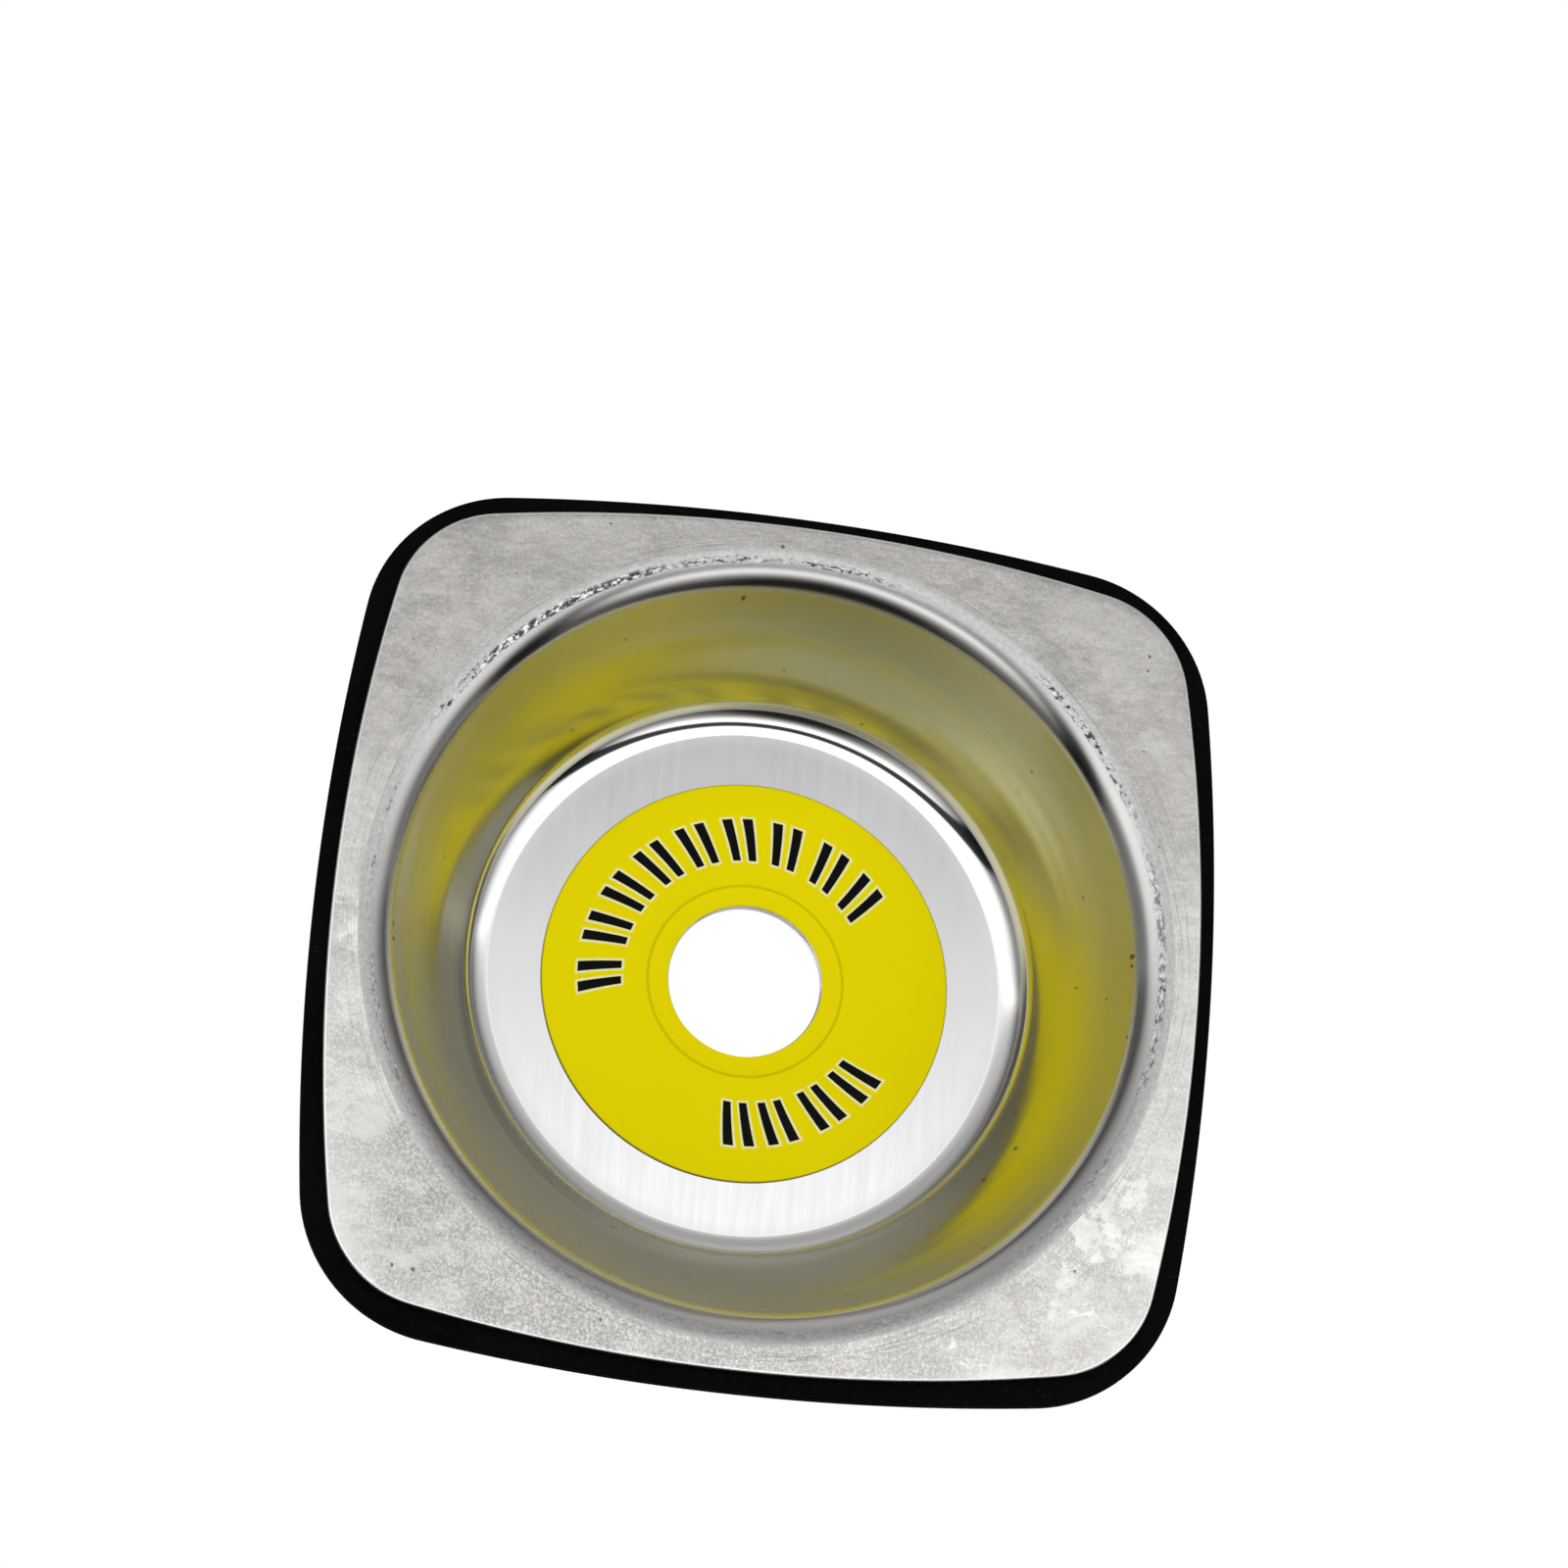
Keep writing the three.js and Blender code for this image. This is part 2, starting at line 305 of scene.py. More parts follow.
def steel_flange():
    """Satin sheet: brushed along x, speckled, with pale watery blotches in the lower corners and fine scratches round the rim."""
    n = Nodes("steel_flange")
    x, y, z = n.xyz()
    r, a, yy = n.polar()
    cloud = n.noise(26.0, 3.0, 0.55)
    blotch = n.noise(105.0, 5.0, 0.68, distortion=0.4)
    patch = n.noise(150.0, 3.0, 0.55)
    speck = n.noise(2100.0, 4.0, 0.85)
    grain = n.noise(1.0, 4.0, 0.65, vector=n.stretch(60.0, 200.0, 1400.0))
    sand = n.noise(1.0, 3.0, 0.7, vector=n.stretch(500.0, 500.0, 2600.0))
    low = n.range(z, 0.010, -0.045, 0.25, 1.0, True)
    corner = n.range(n.math("ABSOLUTE", x), 0.024, 0.048, 0.15, 1.0, True)
    wet = n.math("MULTIPLY", n.range(blotch, 0.45, 0.66, 0.0, 1.0, True), n.math("MULTIPLY", low, corner))
    dull = n.range(blotch, 0.48, 0.38, 0.0, 1.0, True)
    near = n.range(r, 64.0, 58.8, 0.0, 1.0, True)
    ring = n.noise(1.0, 3.0, 0.75, vector=n.round_vec(6.5, 5.0, 0.0))
    scr = n.math("MULTIPLY", n.range(ring, 0.54, 0.64, 0.0, 1.0), near)
    sway, lift = n.noise(130.0, 6.0, 0.72), n.noise(130.0, 6.0, 0.72, vector=n.stretch(1.0, 1.0, -1.0))
    ragged = n.vec(n.math("ADD", x, n.range(sway, 0.0, 1.0, -0.016, 0.016)), y, n.math("ADD", z, n.range(lift, 0.0, 1.0, -0.016, 0.016)))
    worn = n.spot(58.0, -40.5, 9.0, ragged)
    for cx, cz, size, share in ((47.0, -39.0, 6.5, 0.95), (51.5, -35.3, 6.0, 0.95), (56.0, -31.5, 6.0, 0.95), (44.0, -46.7, 8.0, 0.7), (-57.0, -6.0, 8.0, 0.8)):
        worn = n.math("MAXIMUM", worn, n.math("MULTIPLY", n.spot(cx, cz, size, ragged), share))
    worn = n.range(n.math("ADD", n.math("MULTIPLY", worn, 0.40), n.math("MULTIPLY", n.noise(260.0, 5.0, 0.85), 0.8)), 0.53, 0.77, 0.0, 1.0, True)
    # painted highlight: a broad soft spot to the lower right of the flange
    broad_highlight = n.spot(38.0, -56.0, 52.0)
    # painted highlight: the outer left and right sides of the flange, below the top, lightened
    side_strip_highlight = n.math("MULTIPLY", n.range(n.math("ABSOLUTE", x), 0.046, 0.056, 0.0, 1.0, True), n.range(z, 0.035, 0.0, 0.0, 1.0, True))
    # short bent scratches, in two clusters
    warp = n.noise(70.0, 3.0, 0.6)
    twig = n.voronoi(165.0, "DISTANCE_TO_EDGE", vector=n.vec(n.math("ADD", x, n.math("MULTIPLY", warp, 0.006)), y, n.math("ADD", z, n.math("MULTIPLY", blotch, 0.008))))
    near_twig = n.math("MAXIMUM", n.spot(32.4, -56.2, 4.5), n.spot(48.7, -50.4, 4.6))
    broken = n.range(n.noise(300.0, 2.0, 0.6), 0.46, 0.54, 0.0, 1.0)
    cut = n.math("MULTIPLY", n.math("MULTIPLY", n.range(twig, 0.032, 0.011, 0.0, 1.0), n.range(near_twig, 0.05, 0.35, 0.0, 1.0)), broken)
    pits = n.math("ADD", n.noise(760.0, 1.0, 0.4), n.math("MULTIPLY", n.math("MAXIMUM", n.spot(-47.0, -52.0, 9.0), n.spot(-60.5, -45.0, 4.0)), 0.10))
    pits = n.range(pits, 0.775, 0.80, 0.0, 1.0)

    col = n.ramp(cloud, [(0.3, (0.535, 0.515, 0.495)), (0.7, (0.60, 0.58, 0.56))])
    strong = n.range(z, 0.035, -0.035, 0.35, 1.0, True)
    weak = n.math("SUBTRACT", 1.15, strong)
    col = n.mix(n.math("MULTIPLY", dull, 0.45), col, (0.40, 0.388, 0.374))
    col = n.mix(n.math("MULTIPLY", n.range(speck, 0.34, 0.57, 0.80, 0.0), strong), col, (0.30, 0.295, 0.285))
    col = n.mix(n.math("MULTIPLY", n.range(speck, 0.47, 0.68, 0.0, 0.85), strong), col, (1.0, 0.985, 0.95))
    col = n.mix(n.math("MULTIPLY", n.range(sand, 0.54, 0.74, 0.0, 0.55), weak), col, (0.38, 0.37, 0.36))
    col = n.mix(n.math("MULTIPLY", n.range(sand, 0.46, 0.30, 0.0, 0.35), weak), col, (0.85, 0.84, 0.82))
    col = n.mix(n.math("MULTIPLY", wet, 0.80), col, (1.0, 0.985, 0.94))
    # painted highlight along the flange's lower outer sides
    col = n.mix(n.math("MULTIPLY", side_strip_highlight, 0.30), col, (1.0, 0.985, 0.95))
    # painted highlight: the broad spot to the lower right lightened towards white
    col = n.mix(n.math("MULTIPLY", broad_highlight, 0.24), col, (1.0, 0.98, 0.94))
    # painted shade: a broad soft spot to the lower left of the flange darkened
    col = n.mix(n.math("MULTIPLY", n.spot(-50.0, -52.0, 40.0), 0.18), col, (0.42, 0.41, 0.39))
    col = n.mix(n.math("MULTIPLY", worn, 0.80), col, (1.0, 0.985, 0.945))
    col = n.mix(n.math("MULTIPLY", scr, 0.6), col, (0.27, 0.265, 0.26))
    col = n.mix(n.math("MULTIPLY", cut, 0.9), col, (1.0, 1.0, 0.99))
    col = n.mix(n.math("MULTIPLY", pits, 0.75), col, (0.07, 0.07, 0.07))
    rough = n.math("ADD", n.range(speck, 0.3, 0.7, 0.30, 0.42), n.math("MULTIPLY", wet, 0.10))
    rough = n.math("ADD", rough, n.range(patch, 0.3, 0.7, -0.05, 0.05))
    h = n.math("ADD", n.math("MULTIPLY", grain, 0.5), n.math("MULTIPLY", speck, 0.5))
    h = n.math("ADD", h, n.math("MULTIPLY", n.math("ADD", scr, cut), -0.6))
    h = n.math("ADD", h, n.math("MULTIPLY", pits, -1.5))
    nb = n.bump(h, 0.30, 0.00006)
    nb = n.bump(patch, 0.22, 0.0010, nb)
    n.set(Base_Color=col, Metallic=1.0, Roughness=rough, Normal=nb)
    return n.mat


def steel_rim():
    """The cut edge of the sheet, rounded over; its near-white colour is a painted highlight."""
    n = Nodes("steel_rim")
    fine = n.noise(700.0, 3.0, 0.6)
    # painted highlight: near-white colour on the rounded edge
    col = n.ramp(fine, [(0.3, (0.93, 0.925, 0.91)), (0.7, (0.98, 0.975, 0.96))])
    n.set(Base_Color=col, Metallic=1.0, Roughness=n.range(fine, 0.3, 0.7, 0.24, 0.36), Normal=n.bump(fine, 0.2, 0.00005))
    return n.mat


def steel_cup():
    """Polished by turning. The wall has a soft reflection inside a faint haze, with wide shallow rings; its yellow tint
    is a painted reflection of the legend, darker and greyer towards the rim, and a dark line of painted shade runs
    where it meets the roll;
    the fillet and the roll are brighter, the fillet's light colour a painted highlight; small dents and dashes run
    where the roll meets the satin flange."""
    n = Nodes("steel_cup")
    r, a, y = n.polar()
    wall = n.math("MULTIPLY", n.range(r, 41.1, 42.8, 0.0, 1.0, True), n.range(r, 53.9, 53.1, 0.0, 1.0, True))
    soft = n.math("ADD", n.range(r, 53.5, 54.0, 0.0, 0.08), n.range(r, 54.4, 56.8, 0.0, 0.23))
    out = n.range(r, 55.0, 56.8, 0.0, 1.0, True)
    inn = n.range(r, 38.3, 37.7, 0.0, 0.05, True)
    below = n.range(n.xyz()[2], 0.0, -0.028, 0.0, 1.0, True)  # the lower half, rubbed softer at the wall's foot; it also weakens the painted shade of the crease at the bottom
    foot = n.math("MULTIPLY", n.math("MULTIPLY", n.range(r, 39.0, 40.0, 0.0, 1.0, True), n.range(r, 41.3, 42.8, 1.0, 0.0, True)), below)
    rings = n.noise(1.0, 1.0, 0.5, vector=n.round_vec(0.12, 0.9, 0.28))
    hair = n.noise(1.0, 4.0, 0.7, vector=n.round_vec(7.0, 14.0, 7.0))
    cloud = n.noise(60.0, 3.0, 0.5)
    fine = n.noise(900.0, 2.0, 0.6)
    speck = n.noise(1700.0, 2.0, 0.75)
    scuff = n.noise(1.0, 3.0, 0.75, vector=n.round_vec(6.5, 5.0, 0.0))
    dash = n.noise(1.0, 3.0, 0.65, vector=n.round_vec(2.2, 56.0, 0.0))
    patch = n.noise(1.0, 2.0, 0.5, vector=n.round_vec(0.1, 2.0, 0.0))
    band = n.math("MULTIPLY", n.range(r, 55.9, 56.3, 0.0, 1.0, True), n.range(r, 56.9, 57.4, 1.0, 0.0, True))
    dense = n.math("MAXIMUM", n.range(n.spot(-33.0, 46.5, 26.0), 0.1, 0.6, 0.0, 1.0), n.range(n.spot(56.0, 8.0, 20.0), 0.1, 0.7, 0.0, 0.6))
    height = n.range(n.xyz()[2], -0.030, 0.004, 0.30, 1.0)
    where = n.math("MULTIPLY", n.math("MULTIPLY", band, height), n.math("MAXIMUM", n.range(patch, 0.42, 0.50, 0.0, 1.0), dense))
    dashes = n.math("MULTIPLY", n.range(n.math("ADD", dash, n.math("MULTIPLY", dense, 0.045)), 0.545, 0.60, 0.0, 1.0), where)
    glints = n.math("MULTIPLY", n.range(n.math("SUBTRACT", dash, n.math("MULTIPLY", dense, 0.05)), 0.44, 0.38, 0.0, 1.0), where)
    # three nicks near the top of the wall, and a few pits
    pits = n.math("MULTIPLY", n.range(n.noise(760.0, 1.0, 0.4), 0.785, 0.800, 0.0, 1.0), wall)
    ragged = n.noise(1300.0, 2.0, 0.6)
    nick = n.math("MAXIMUM", n.spot(-7.6, 51.7, 0.8), n.math("MAXIMUM", n.spot(52.7, 4.6, 0.8), n.math("MAXIMUM", n.spot(52.75, 3.3, 0.8), n.spot(-52.7, -6.1, 0.7))))
    pits = n.math("MAXIMUM", pits, n.range(n.math("ADD", nick, n.math("MULTIPLY", ragged, 1.8)), 1.62, 1.72, 0.0, 1.0))

    edge_col = n.ramp(cloud, [(0.3, (0.655, 0.645, 0.63)), (0.7, (0.70, 0.69, 0.675))])
    # the wall's yellow tint is a painted reflection of the legend
    wall_col = n.ramp(cloud, [(0.3, (0.55, 0.545, 0.37)), (0.7, (0.60, 0.595, 0.42))])
    # painted shade: towards the rim the wall's colour turns darker and greyer
    upper = n.range(r, 46.5, 52.0, 0.0, 1.0, True)
    wall_col = n.mix(n.math("MULTIPLY", upper, 0.75), wall_col, (0.475, 0.472, 0.435))
    wall_col = n.mix(n.range(hair, 0.60, 0.74, 0.0, 0.22), wall_col, (0.36, 0.34, 0.28))
    # painted highlight: the fillet lightened towards near-white
    edge_col = n.mix(n.range(r, 40.9, 40.0, 0.0, 1.0, True), edge_col, (0.80, 0.795, 0.785))
    col = n.mix(wall, edge_col, wall_col)
    # painted shade: a dark line where the wall meets the roll, strongest at the top
    crease_shade = n.math("MULTIPLY", n.range(r, 53.1, 53.8, 0.0, 1.0, True), n.range(r, 54.3, 55.1, 1.0, 0.0, True))
    col = n.mix(n.math("MULTIPLY", crease_shade, n.math("SUBTRACT", 0.42, n.math("MULTIPLY", below, 0.32))), col, (0.16, 0.155, 0.14))
    col = n.mix(n.math("MULTIPLY", out, n.range(speck, 0.35, 0.65, 0.55, 0.15)), col, (0.36, 0.355, 0.35))
    col = n.mix(n.math("MULTIPLY", out, n.range(scuff, 0.55, 0.66, 0.0, 0.45)), col, (0.25, 0.245, 0.24))
    col = n.mix(n.math("MULTIPLY", glints, 0.9), col, (0.95, 0.95, 0.94))
    col = n.mix(n.math("MULTIPLY", dashes, 0.92), col, (0.02, 0.02, 0.02))
    col = n.mix(n.math("MULTIPLY", pits, 0.8), col, (0.03, 0.03, 0.02))
    rough = n.math("ADD", n.range(cloud, 0.3, 0.7, 0.08, 0.11), n.math("ADD", soft, n.math("MULTIPLY", foot, 0.12)))
    rough = n.math("ADD", rough, n.math("ADD", inn, n.math("MULTIPLY", wall, n.math("ADD", n.math("MULTIPLY", upper, 0.10), 0.06))))
    h = n.math("ADD", n.math("MULTIPLY", n.math("MULTIPLY", rings, wall), 1.0), n.math("MULTIPLY", hair, 0.010))
    h = n.math("ADD", h, n.math("MULTIPLY", pits, -0.3))
    nb = n.bump(h, 1.0, 0.00010)
    h2 = n.math("SUBTRACT", n.math("MULTIPLY", glints, 0.6), dashes)
    nb = n.bump(h2, 0.5, 0.00010, nb)
    n.set(Base_Color=col, Metallic=1.0, Roughness=rough, Normal=nb)
    haze = n.t.nodes.new("ShaderNodeBsdfPrincipled")
    n.put(haze.inputs["Base Color"], col)
    haze.inputs["Metallic"].default_value = 1.0
    n.put(haze.inputs["Roughness"], n.range(fine, 0.3, 0.7, 0.36, 0.44))
    n.put(haze.inputs["Normal"], nb)
    mix = n.t.nodes.new("ShaderNodeMixShader")
    veil = n.math("ADD", n.range(cloud, 0.3, 0.7, 0.0, 0.05), n.math("MULTIPLY", upper, 0.185))
    n.put(mix.inputs[0], n.math("MULTIPLY", wall, veil))
    n.t.links.new(n.bsdf.outputs[0], mix.inputs[1])
    n.t.links.new(haze.outputs[0], mix.inputs[2])
    n.t.links.new(mix.outputs[0], n.out.inputs["Surface"])
    return n.mat


def steel_floor():
    n = Nodes("steel_floor")
    grain = n.noise(1.0, 3.0, 0.6, vector=n.stretch(900.0, 100.0, 60.0))
    cloud = n.noise(30.0, 3.0, 0.55)
    col = n.ramp(cloud, [(0.3, (0.64, 0.64, 0.645)), (0.7, (0.69, 0.69, 0.695))])
    rough = n.math("ADD", n.range(grain, 0.3, 0.7, 0.12, 0.18), n.range(cloud, 0.3, 0.7, 0.0, 0.03))
    nb = n.bump(grain, 0.06, 0.0001)
    n.set(Base_Color=col, Metallic=1.0, Roughness=rough, Normal=nb)
    return n.mat


def steel_back():
    n = Nodes("steel_back")
    cloud = n.noise(28.0, 4.0, 0.6)
    drawn = n.noise(1.0, 4.0, 0.6, vector=n.round_vec(0.15, 30.0, 0.15))
    col = n.ramp(cloud, [(0.3, (0.50, 0.49, 0.475)), (0.7, (0.62, 0.61, 0.59))])
    rough = n.math("ADD", n.range(drawn, 0.3, 0.7, 0.30, 0.42), n.range(cloud, 0.3, 0.7, 0.0, 0.06))
    nb = n.bump(drawn, 0.10, 0.0002)
    n.set(Base_Color=col, Metallic=1.0, Roughness=rough, Normal=nb)
    return n.mat


def gasket_rubber():
    n = Nodes("gasket_rubber")
    fine = n.noise(900.0, 4.0, 0.7)
    cloud = n.noise(60.0, 3.0, 0.5)
    dust = n.range(n.noise(1400.0, 2.0, 0.5), 0.66, 0.74, 0.0, 1.0)
    col = n.ramp(cloud, [(0.3, (0.0008, 0.0008, 0.0009)), (0.7, (0.0022, 0.0022, 0.0024))])
    col = n.mix(n.math("MULTIPLY", dust, 0.25), col, (0.03, 0.03, 0.03))
    nb = n.bump(fine, 0.35, 0.00012)
    n.set(Base_Color=col, Metallic=0.0, Roughness=n.range(fine, 0.3, 0.7, 0.62, 0.85), Normal=nb)
    n.bsdf.inputs["Specular IOR Level"].default_value = 0.05
    return n.mat


def legend_yellow():
    n = Nodes("legend_yellow")
    r, a, y = n.polar()
    cloud = n.noise(25.0, 3.0, 0.5)
    fine = n.noise(700.0, 3.0, 0.6)
    col = n.ramp(cloud, [(0.3, (0.80, 0.675, 0.0006)), (0.7, (0.84, 0.715, 0.0008))])
    # darker in the shallow ring, 28.8 mm across, where a button's collar has been pressed
    d = n.math("ABSOLUTE", n.math("SUBTRACT", r, 14.4))
    groove = n.range(d, 0.0, 0.35, 1.0, 0.0, True)
    col = n.mix(n.math("MULTIPLY", groove, 0.5), col, (0.40, 0.33, 0.0))
    # painted shade: a thin dark line round the legend's outer edge
    edge = n.range(r, 29.75, 29.95, 0.0, 1.0, True)
    col = n.mix(n.math("MULTIPLY", edge, 0.8), col, (0.22, 0.19, 0.02))
    nb = n.bump(fine, 0.10, 0.0001)
    n.set(Base_Color=col, Metallic=0.0, Roughness=n.range(fine, 0.3, 0.7, 0.42, 0.52), Normal=nb)
    n.bsdf.inputs["Specular IOR Level"].default_value = 0.02
    return n.mat


def ink_black():
    n = Nodes("ink_black")
    fine = n.noise(900.0, 3.0, 0.6)
    col = n.ramp(fine, [(0.35, (0.0015, 0.0015, 0.0018)), (0.75, (0.005, 0.005, 0.0055))])
    n.set(Base_Color=col, Roughness=n.range(fine, 0.3, 0.7, 0.45, 0.6))
    n.bsdf.inputs["Specular IOR Level"].default_value = 0.06
    return n.mat


def ink_outline():
    n = Nodes("ink_outline")
    fine = n.noise(900.0, 3.0, 0.6)
    col = n.ramp(fine, [(0.35, (0.80, 0.78, 0.33)), (0.75, (0.88, 0.86, 0.45))])
    n.set(Base_Color=col, Roughness=0.5)
    return n.mat


def adhesive_film():
    n = Nodes("adhesive_film")
    fine = n.noise(300.0, 3.0, 0.6)
    col = n.ramp(fine, [(0.3, (0.58, 0.55, 0.44)), (0.7, (0.68, 0.65, 0.55))])
    n.set(Base_Color=col, Roughness=n.range(fine, 0.3, 0.7, 0.4, 0.6))
    return n.mat


def zinc_steel(name, tint, rough0, rough1):
    n = Nodes(name)
    cloud = n.noise(160.0, 4.0, 0.6)
    fine = n.noise(1500.0, 3.0, 0.6)
    lo = tuple(c * 0.82 for c in tint)
    col = n.ramp(cloud, [(0.3, lo), (0.7, tint)])
    nb = n.bump(fine, 0.10, 0.00006)
    n.set(Base_Color=col, Metallic=1.0, Roughness=n.range(cloud, 0.3, 0.7, rough0, rough1), Normal=nb)
    return n.mat


M_FLANGE, M_CUP, M_FLOOR, M_BACK, M_RIM = steel_flange(), steel_cup(), steel_floor(), steel_back(), steel_rim()
M_GASKET, M_LEGEND, M_INK, M_LINE = gasket_rubber(), legend_yellow(), ink_black(), ink_outline()
M_FILM = adhesive_film()
M_ZINC = zinc_steel("zinc_plate", (0.62, 0.64, 0.66), 0.22, 0.36)
M_STUD = zinc_steel("stud_plate", (0.58, 0.55, 0.50), 0.26, 0.40)

# ------------------------------------------------------------------ the cup
SEG = 480
angles = 2 * math.pi * np.arange(SEG) / SEG
EDGE = 0.25  # rounding of the hole's edges
RIM = 0.38  # rounding of the flange's outer edge
TURN = 42.0  # tilt at which the fillet opens into its wider curve
WIDE = 10.5
WALL_FOOT, WALL_RIM = 31.0, 24.5  # the wall's angle to the axis at its two ends: it is bowed slightly outwards


def section(off):
    """The cup's section from the floor's edge to the flange, moved off the front by a distance towards the back, in three parts."""
    t0, t1 = math.radians(TURN), math.radians(90 - WALL_FOOT)
    fil = []
    for i in range(15):
        t = t0 * i / 14
        fil.append((FLOOR_EDGE_R + (FILLET + off) * math.sin(t), Y_FLOOR + off - (FILLET + off) * (1 - math.cos(t))))
    c = (FLOOR_EDGE_R + FILLET * math.sin(t0) - WIDE * math.sin(t0), Y_FLOOR - FILLET * (1 - math.cos(t0)) - WIDE * math.cos(t0))
    for i in range(1, 15):
        t = t0 + (t1 - t0) * i / 14
        fil.append((c[0] + (WIDE + off) * math.sin(t), c[1] + (WIDE + off) * math.cos(t)))
    roll_y = Y_FACE + ROLL
    rol = arc(ROLL_EDGE_R, roll_y, ROLL - off, 180 + WALL_RIM, 270, 22)
    p0, p1 = np.array(fil[-1]), np.array(rol[0])
    a, b = math.radians(WALL_FOOT), math.radians(WALL_RIM)
    d0, d1 = np.array((math.sin(a), -math.cos(a))), np.array((math.sin(b), -math.cos(b)))
    size = np.hypot(*(p1 - p0))
    mid = []
    for i in range(1, 24):
        t = i / 24
        q = (2 * t**3 - 3 * t**2 + 1) * p0 + (t**3 - 2 * t**2 + t) * size * d0 + (3 * t**2 - 2 * t**3) * p1 + (t**3 - t**2) * size * d1
        mid.append((float(q[0]), float(q[1])))
    return fil, mid, rol


fil, mid, rol = section(0.0)
front = []  # (radius, y, zone) for the turned part of the front, from the hole out
front += [(r, y, "floor") for r, y in arc(HOLE_R + EDGE, Y_FLOOR + EDGE, EDGE, 180, 270, 3)]
front += [(r, y, "floor") for r, y in line((HOLE_R + EDGE, Y_FLOOR), fil[0], 14)]
front += [(r, y, "cup") for r, y in fil + mid + rol[:-1]]
front += [(rol[-1][0], rol[-1][1], "flange")]
bfil, bmid, brol = section(SHEET)
backp = [(r, y, "back") for r, y in (bfil + bmid + brol)[::-1]]  # the back, from the flange in
backp += [(r, y, "back") for r, y in line(bfil[0], (HOLE_R + EDGE, Y_FLOOR + SHEET), 10)]
backp += [(r, y, "back") for r, y in arc(HOLE_R + EDGE, Y_FLOOR + SHEET - EDGE, EDGE, 90, 180, 3)]

outline = bowed(angles, *FLANGE)
rings, zones = [], []
for r, y, zone in front:
    rings.append((np.full(SEG, r), np.full(SEG, y)))
    zones.append(zone)
start = front[-1][0]
NF = 10
for i in range(1, NF + 1):
    t = i / NF
    rings.append((start + (outline - RIM - start) * t, np.full(SEG, Y_FACE)))
    zones.append("flange" if i < NF else "rim")
for i in range(1, 6):
    a = math.radians(90 * i / 5)
    rings.append((outline - RIM + RIM * math.sin(a), np.full(SEG, Y_FACE + RIM - RIM * math.cos(a))))
    zones.append("rim")
for i in range(0, 5):
    a = math.radians(90 * i / 4)
    rings.append((outline - RIM + RIM * math.cos(a), np.full(SEG, Y_BACK - RIM + RIM * math.sin(a))))
    zones.append("rim")
for i in range(1, NF):
    t = i / NF
    rings.append((outline - RIM + (backp[0][0] - outline + RIM) * t, np.full(SEG, Y_BACK)))
    zones.append("back")
for r, y, zone in backp:
    rings.append((np.full(SEG, r), np.full(SEG, y)))
    zones.append(zone)
verts = np.concatenate([np.stack([r * np.cos(angles), y, r * np.sin(angles)], 1) for r, y in rings]) * MM
cup = mesh_object("cup_skin", verts, grid_faces(len(rings), SEG, True))
for mat in (M_FLANGE, M_CUP, M_FLOOR, M_BACK, M_RIM):
    cup.data.materials.append(mat)
index = {"flange": 0, "cup": 1, "floor": 2, "back": 3, "rim": 4}
cup.data.polygons.foreach_set("material_index", [index[zones[p // SEG]] for p in range(len(cup.data.polygons))])
fix_normals(cup)
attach(cup, "root")
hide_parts("recess_cup")

# ------------------------------------------------------------------ the gasket: a flat ring with two lips along its edge
g_out = bowed(angles, *GASKET_OUT)
section = []  # (share of the way from the inner radius to the outline, offset out of the outline, y)
T = GASKET
for t in (0.0, 0.2, 0.45, 0.7, 0.88):
    section.append((t, 0.0, -T))
for off, y in ((-0.55, -T), (-0.22, -T + 0.06), (-0.04, -T + 0.28), (0.0, -T + 0.55), (-0.06, -T + 0.80), (-0.30, -T + 0.95), (-0.42, -T + 1.08),
               (-0.34, -T + 1.22), (-0.10, -T + 1.36), (0.0, -T + 1.62), (-0.03, -T + 1.92), (-0.20, -T + 2.15), (-0.55, 0.0)):
    section.append((1.0, off, y))
for t in (0.88, 0.7, 0.45, 0.2, 0.0):
    section.append((t, 0.0, 0.0))
verts = []
for t, off, y in section:
    r = GASKET_IN + (g_out - GASKET_IN - 0.6) * t + (0.6 + off if t == 1.0 else 0.0)
    verts.append(np.stack([r * np.cos(angles) + GASKET_SHIFT[0], np.full(SEG, y), r * np.sin(angles) + GASKET_SHIFT[1]], 1))
gasket = mesh_object("gasket_skin", np.concatenate(verts) * MM, grid_faces(len(section), SEG, True))
fix_normals(gasket)
gasket.data.materials.append(M_GASKET)
cutters = []
for corner, sx, sz in CORNERS:
    c = turned("cut_" + corner, [(3.3, -4.0), (3.3, 2.0)], 40, closed=False, at=(sx * STUD + GASKET_SHIFT[0], 0, sz * STUD + GASKET_SHIFT[1]))
    bm = bmesh.new()
    bm.from_mesh(c.data)
    bmesh.ops.holes_fill(bm, edges=bm.edges)
    bmesh.ops.recalc_face_normals(bm, faces=bm.faces)
    bm.to_mesh(c.data)
    bm.free()
    cutters.append(c)
for c in cutters:
    mod = gasket.modifiers.new("cut", "BOOLEAN")
    mod.operation = "DIFFERENCE"
    mod.solver = "EXACT"
    mod.object = c
dg = bpy.context.evaluated_depsgraph_get()
cut = bpy.data.meshes.new_from_object(gasket.evaluated_get(dg))
gasket.modifiers.clear()
gasket.data = cut
for c in cutters:
    bpy.data.objects.remove(c)
gasket.data.polygons.foreach_set("use_smooth", [True] * len(gasket.data.polygons))
gasket.data.set_sharp_from_angle(angle=math.radians(40))
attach(gasket, "root")
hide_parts("flange_gasket")

